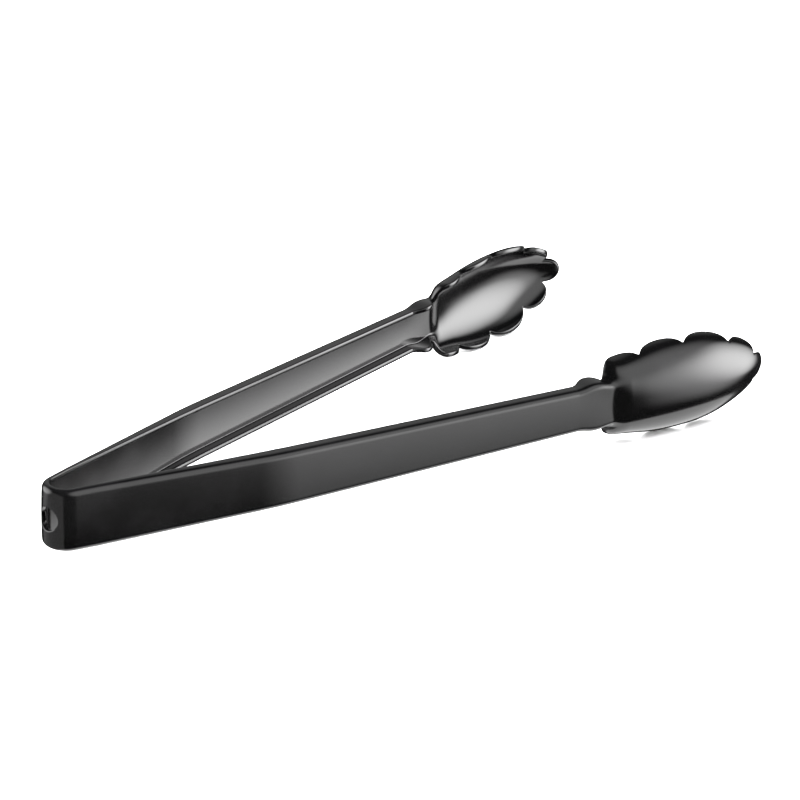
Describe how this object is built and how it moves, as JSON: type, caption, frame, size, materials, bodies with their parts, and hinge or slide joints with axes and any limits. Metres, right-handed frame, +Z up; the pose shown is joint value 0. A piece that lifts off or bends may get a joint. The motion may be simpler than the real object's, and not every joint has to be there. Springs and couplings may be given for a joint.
{
  "type": "spring tongs",
  "caption": "Kitchen tongs bent from one springy channel strap, ending in two scalloped scoops that meet at their tips.",
  "frame": {"origin": "middle of the footprint, on the surface the tongs stand on with their arms side by side", "axes": "+X from the bend towards the scoops, +Y towards the far arm, +Z up across the width of the strap"},
  "size_m": [0.3072, 0.1314, 0.0379],
  "materials": {
    "black_plastic": "gloss black"
  },
  "bodies": {
    "bow": {"spring_bow": "black_plastic"},
    "near_side": {"near_arm": "black_plastic", "near_scoop": "black_plastic"},
    "far_side": {"far_arm": "black_plastic", "far_scoop": "black_plastic"}
  },
  "joints": [
    {"name": "near_flex", "type": "hinge", "parent": "bow", "child": "near_side", "pos_m": [-0.13719, -0.01041, 0.01894], "axis": [0, 0, 1], "range_deg": [-5, 11.3], "stiffness_Nm_per_rad": 6},
    {"name": "far_flex", "type": "hinge", "parent": "bow", "child": "far_side", "pos_m": [-0.13719, 0.01041, 0.01894], "axis": [0, 0, 1], "range_deg": [-11.3, 5], "stiffness_Nm_per_rad": 6}
  ],
  "couplings": [
    {"joint": "far_flex", "follows": "near_flex", "ratio": -1}
  ]
}
